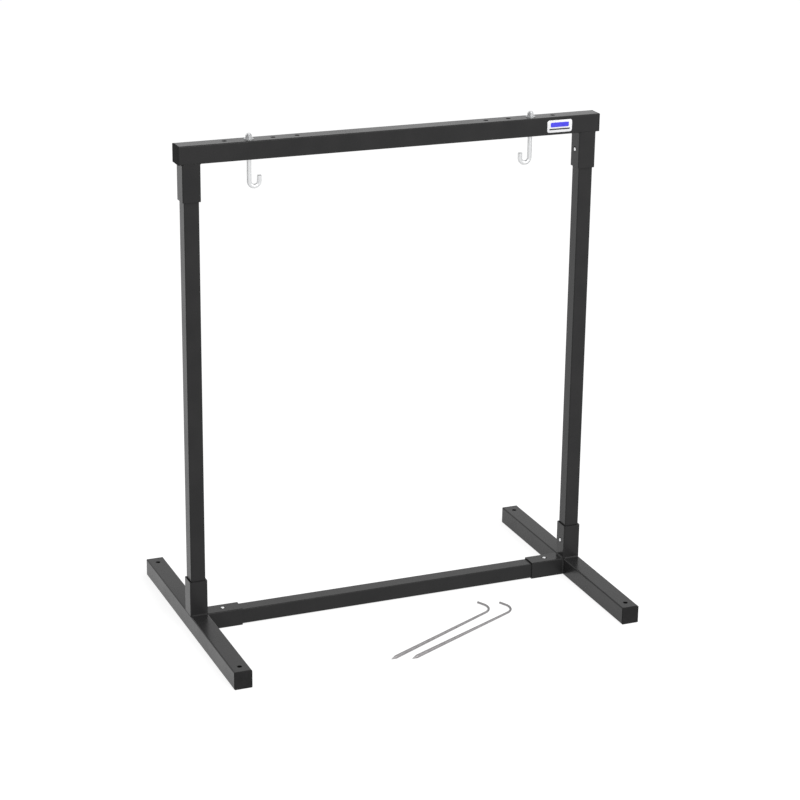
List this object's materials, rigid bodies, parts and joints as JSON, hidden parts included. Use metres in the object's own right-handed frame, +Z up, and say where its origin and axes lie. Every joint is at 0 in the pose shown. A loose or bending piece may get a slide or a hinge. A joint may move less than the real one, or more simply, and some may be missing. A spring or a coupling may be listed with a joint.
{
  "type": "archery target stand",
  "caption": "Square steel tube stand: feet, posts and a drilled top rail whose J hooks carry a bag target. Snap buttons lock its sockets, and bent steel stakes pin the feet.",
  "frame": {"origin": "on the ground, midway between the posts and midway along the feet", "axes": "+Z up, +X along the rail to the right as the shooter sees it, -Y towards the shooter"},
  "size_m": [0.9208, 0.6106, 1.0534],
  "materials": {
    "powder_coat": "semi-gloss black powder coat over steel tube",
    "plug_plastic": "moulded black polyethylene",
    "zinc_plate": "bright zinc plate",
    "spring_steel": "bare rolled spring steel",
    "stake_steel": "dull grey hot-rolled steel rod"
  },
  "bodies": {
    "frame": {"left_foot_tube": "powder_coat", "right_foot_tube": "powder_coat", "left_post_socket": "powder_coat", "right_post_socket": "powder_coat", "left_crossbar_socket": "powder_coat", "right_crossbar_socket": "powder_coat", "left_foot_welds": "powder_coat", "right_foot_welds": "powder_coat", "lower_crossbar": "powder_coat", "left_post": "powder_coat", "right_post": "powder_coat", "top_rail": "powder_coat", "left_rail_socket": "powder_coat", "right_rail_socket": "powder_coat", "rail_welds": "powder_coat", "left_foot_front_plug": "plug_plastic", "left_foot_back_plug": "plug_plastic", "right_foot_front_plug": "plug_plastic", "right_foot_back_plug": "plug_plastic", "left_rail_plug": "plug_plastic", "right_rail_plug": "plug_plastic", "left_foot_leaf_spring": "spring_steel", "right_foot_leaf_spring": "spring_steel", "left_rail_leaf_spring": "spring_steel", "right_rail_leaf_spring": "spring_steel", "left_crossbar_leaf_spring": "spring_steel", "right_crossbar_leaf_spring": "spring_steel"},
    "left_foot_button": {"left_foot_button": "zinc_plate"},
    "right_foot_button": {"right_foot_button": "zinc_plate"},
    "left_rail_button": {"left_rail_button": "zinc_plate"},
    "right_rail_button": {"right_rail_button": "zinc_plate"},
    "left_crossbar_button": {"left_crossbar_button": "zinc_plate"},
    "right_crossbar_button": {"right_crossbar_button": "zinc_plate"},
    "left_hook": {"left_hook": "zinc_plate"},
    "right_hook": {"right_hook": "zinc_plate"},
    "left_hook_washer": {"left_hook_washer": "zinc_plate"},
    "right_hook_washer": {"right_hook_washer": "zinc_plate"},
    "left_hook_nut": {"left_hook_nut": "zinc_plate"},
    "right_hook_nut": {"right_hook_nut": "zinc_plate"},
    "front_stake": {"front_stake": "stake_steel"},
    "rear_stake": {"rear_stake": "stake_steel"}
  },
  "joints": [
    {"name": "left_foot_button_press", "type": "slide", "parent": "frame", "child": "left_foot_button", "axis": [-1, 0, 0], "range_m": [0, 0.0041], "stiffness_N_per_m": 2000, "springref_m": -0.002, "deforming": ["left_foot_leaf_spring"]},
    {"name": "right_foot_button_press", "type": "slide", "parent": "frame", "child": "right_foot_button", "axis": [1, 0, 0], "range_m": [0, 0.0041], "stiffness_N_per_m": 2000, "springref_m": -0.002, "deforming": ["right_foot_leaf_spring"]},
    {"name": "left_rail_button_press", "type": "slide", "parent": "frame", "child": "left_rail_button", "axis": [-1, 0, 0], "range_m": [0, 0.0041], "stiffness_N_per_m": 2000, "springref_m": -0.002, "deforming": ["left_rail_leaf_spring"]},
    {"name": "right_rail_button_press", "type": "slide", "parent": "frame", "child": "right_rail_button", "axis": [1, 0, 0], "range_m": [0, 0.0041], "stiffness_N_per_m": 2000, "springref_m": -0.002, "deforming": ["right_rail_leaf_spring"]},
    {"name": "left_crossbar_button_press", "type": "slide", "parent": "frame", "child": "left_crossbar_button", "axis": [0, 0, -1], "range_m": [0, 0.0041], "stiffness_N_per_m": 2000, "springref_m": -0.002, "deforming": ["left_crossbar_leaf_spring"]},
    {"name": "right_crossbar_button_press", "type": "slide", "parent": "frame", "child": "right_crossbar_button", "axis": [0, 0, -1], "range_m": [0, 0.0041], "stiffness_N_per_m": 2000, "springref_m": -0.002, "deforming": ["right_crossbar_leaf_spring"]},
    {"name": "left_hook_turn", "type": "hinge", "parent": "frame", "child": "left_hook_washer", "pos_m": [-0.30805, 0, 1.0414], "axis": [0, 0, 1], "continuous": true},
    {"name": "left_nut_spin", "type": "hinge", "parent": "left_hook_washer", "child": "left_hook_nut", "pos_m": [-0.30805, 0, 1.0414], "axis": [0, 0, 1], "range_deg": [-6840, 660]},
    {"name": "left_hook_height", "type": "slide", "parent": "left_hook_washer", "child": "left_hook", "axis": [0, 0, -1], "range_m": [-0.0301, 0.0029]},
    {"name": "right_hook_turn", "type": "hinge", "parent": "frame", "child": "right_hook_washer", "pos_m": [0.30805, 0, 1.0414], "axis": [0, 0, 1], "continuous": true},
    {"name": "right_nut_spin", "type": "hinge", "parent": "right_hook_washer", "child": "right_hook_nut", "pos_m": [0.30805, 0, 1.0414], "axis": [0, 0, 1], "range_deg": [-6840, 660]},
    {"name": "right_hook_height", "type": "slide", "parent": "right_hook_washer", "child": "right_hook", "axis": [0, 0, -1], "range_m": [-0.0301, 0.0029]},
    {"name": "front_stake_lift", "type": "slide", "parent": "frame", "child": "front_stake", "axis": [0, 0, 1], "range_m": [0, 0.3]},
    {"name": "rear_stake_lift", "type": "slide", "parent": "frame", "child": "rear_stake", "axis": [0, 0, 1], "range_m": [0, 0.3]}
  ],
  "couplings": [
    {"joint": "left_nut_spin", "follows": "left_hook_height", "rad_per_m": 3957.9},
    {"joint": "right_nut_spin", "follows": "right_hook_height", "rad_per_m": 3957.9}
  ]
}
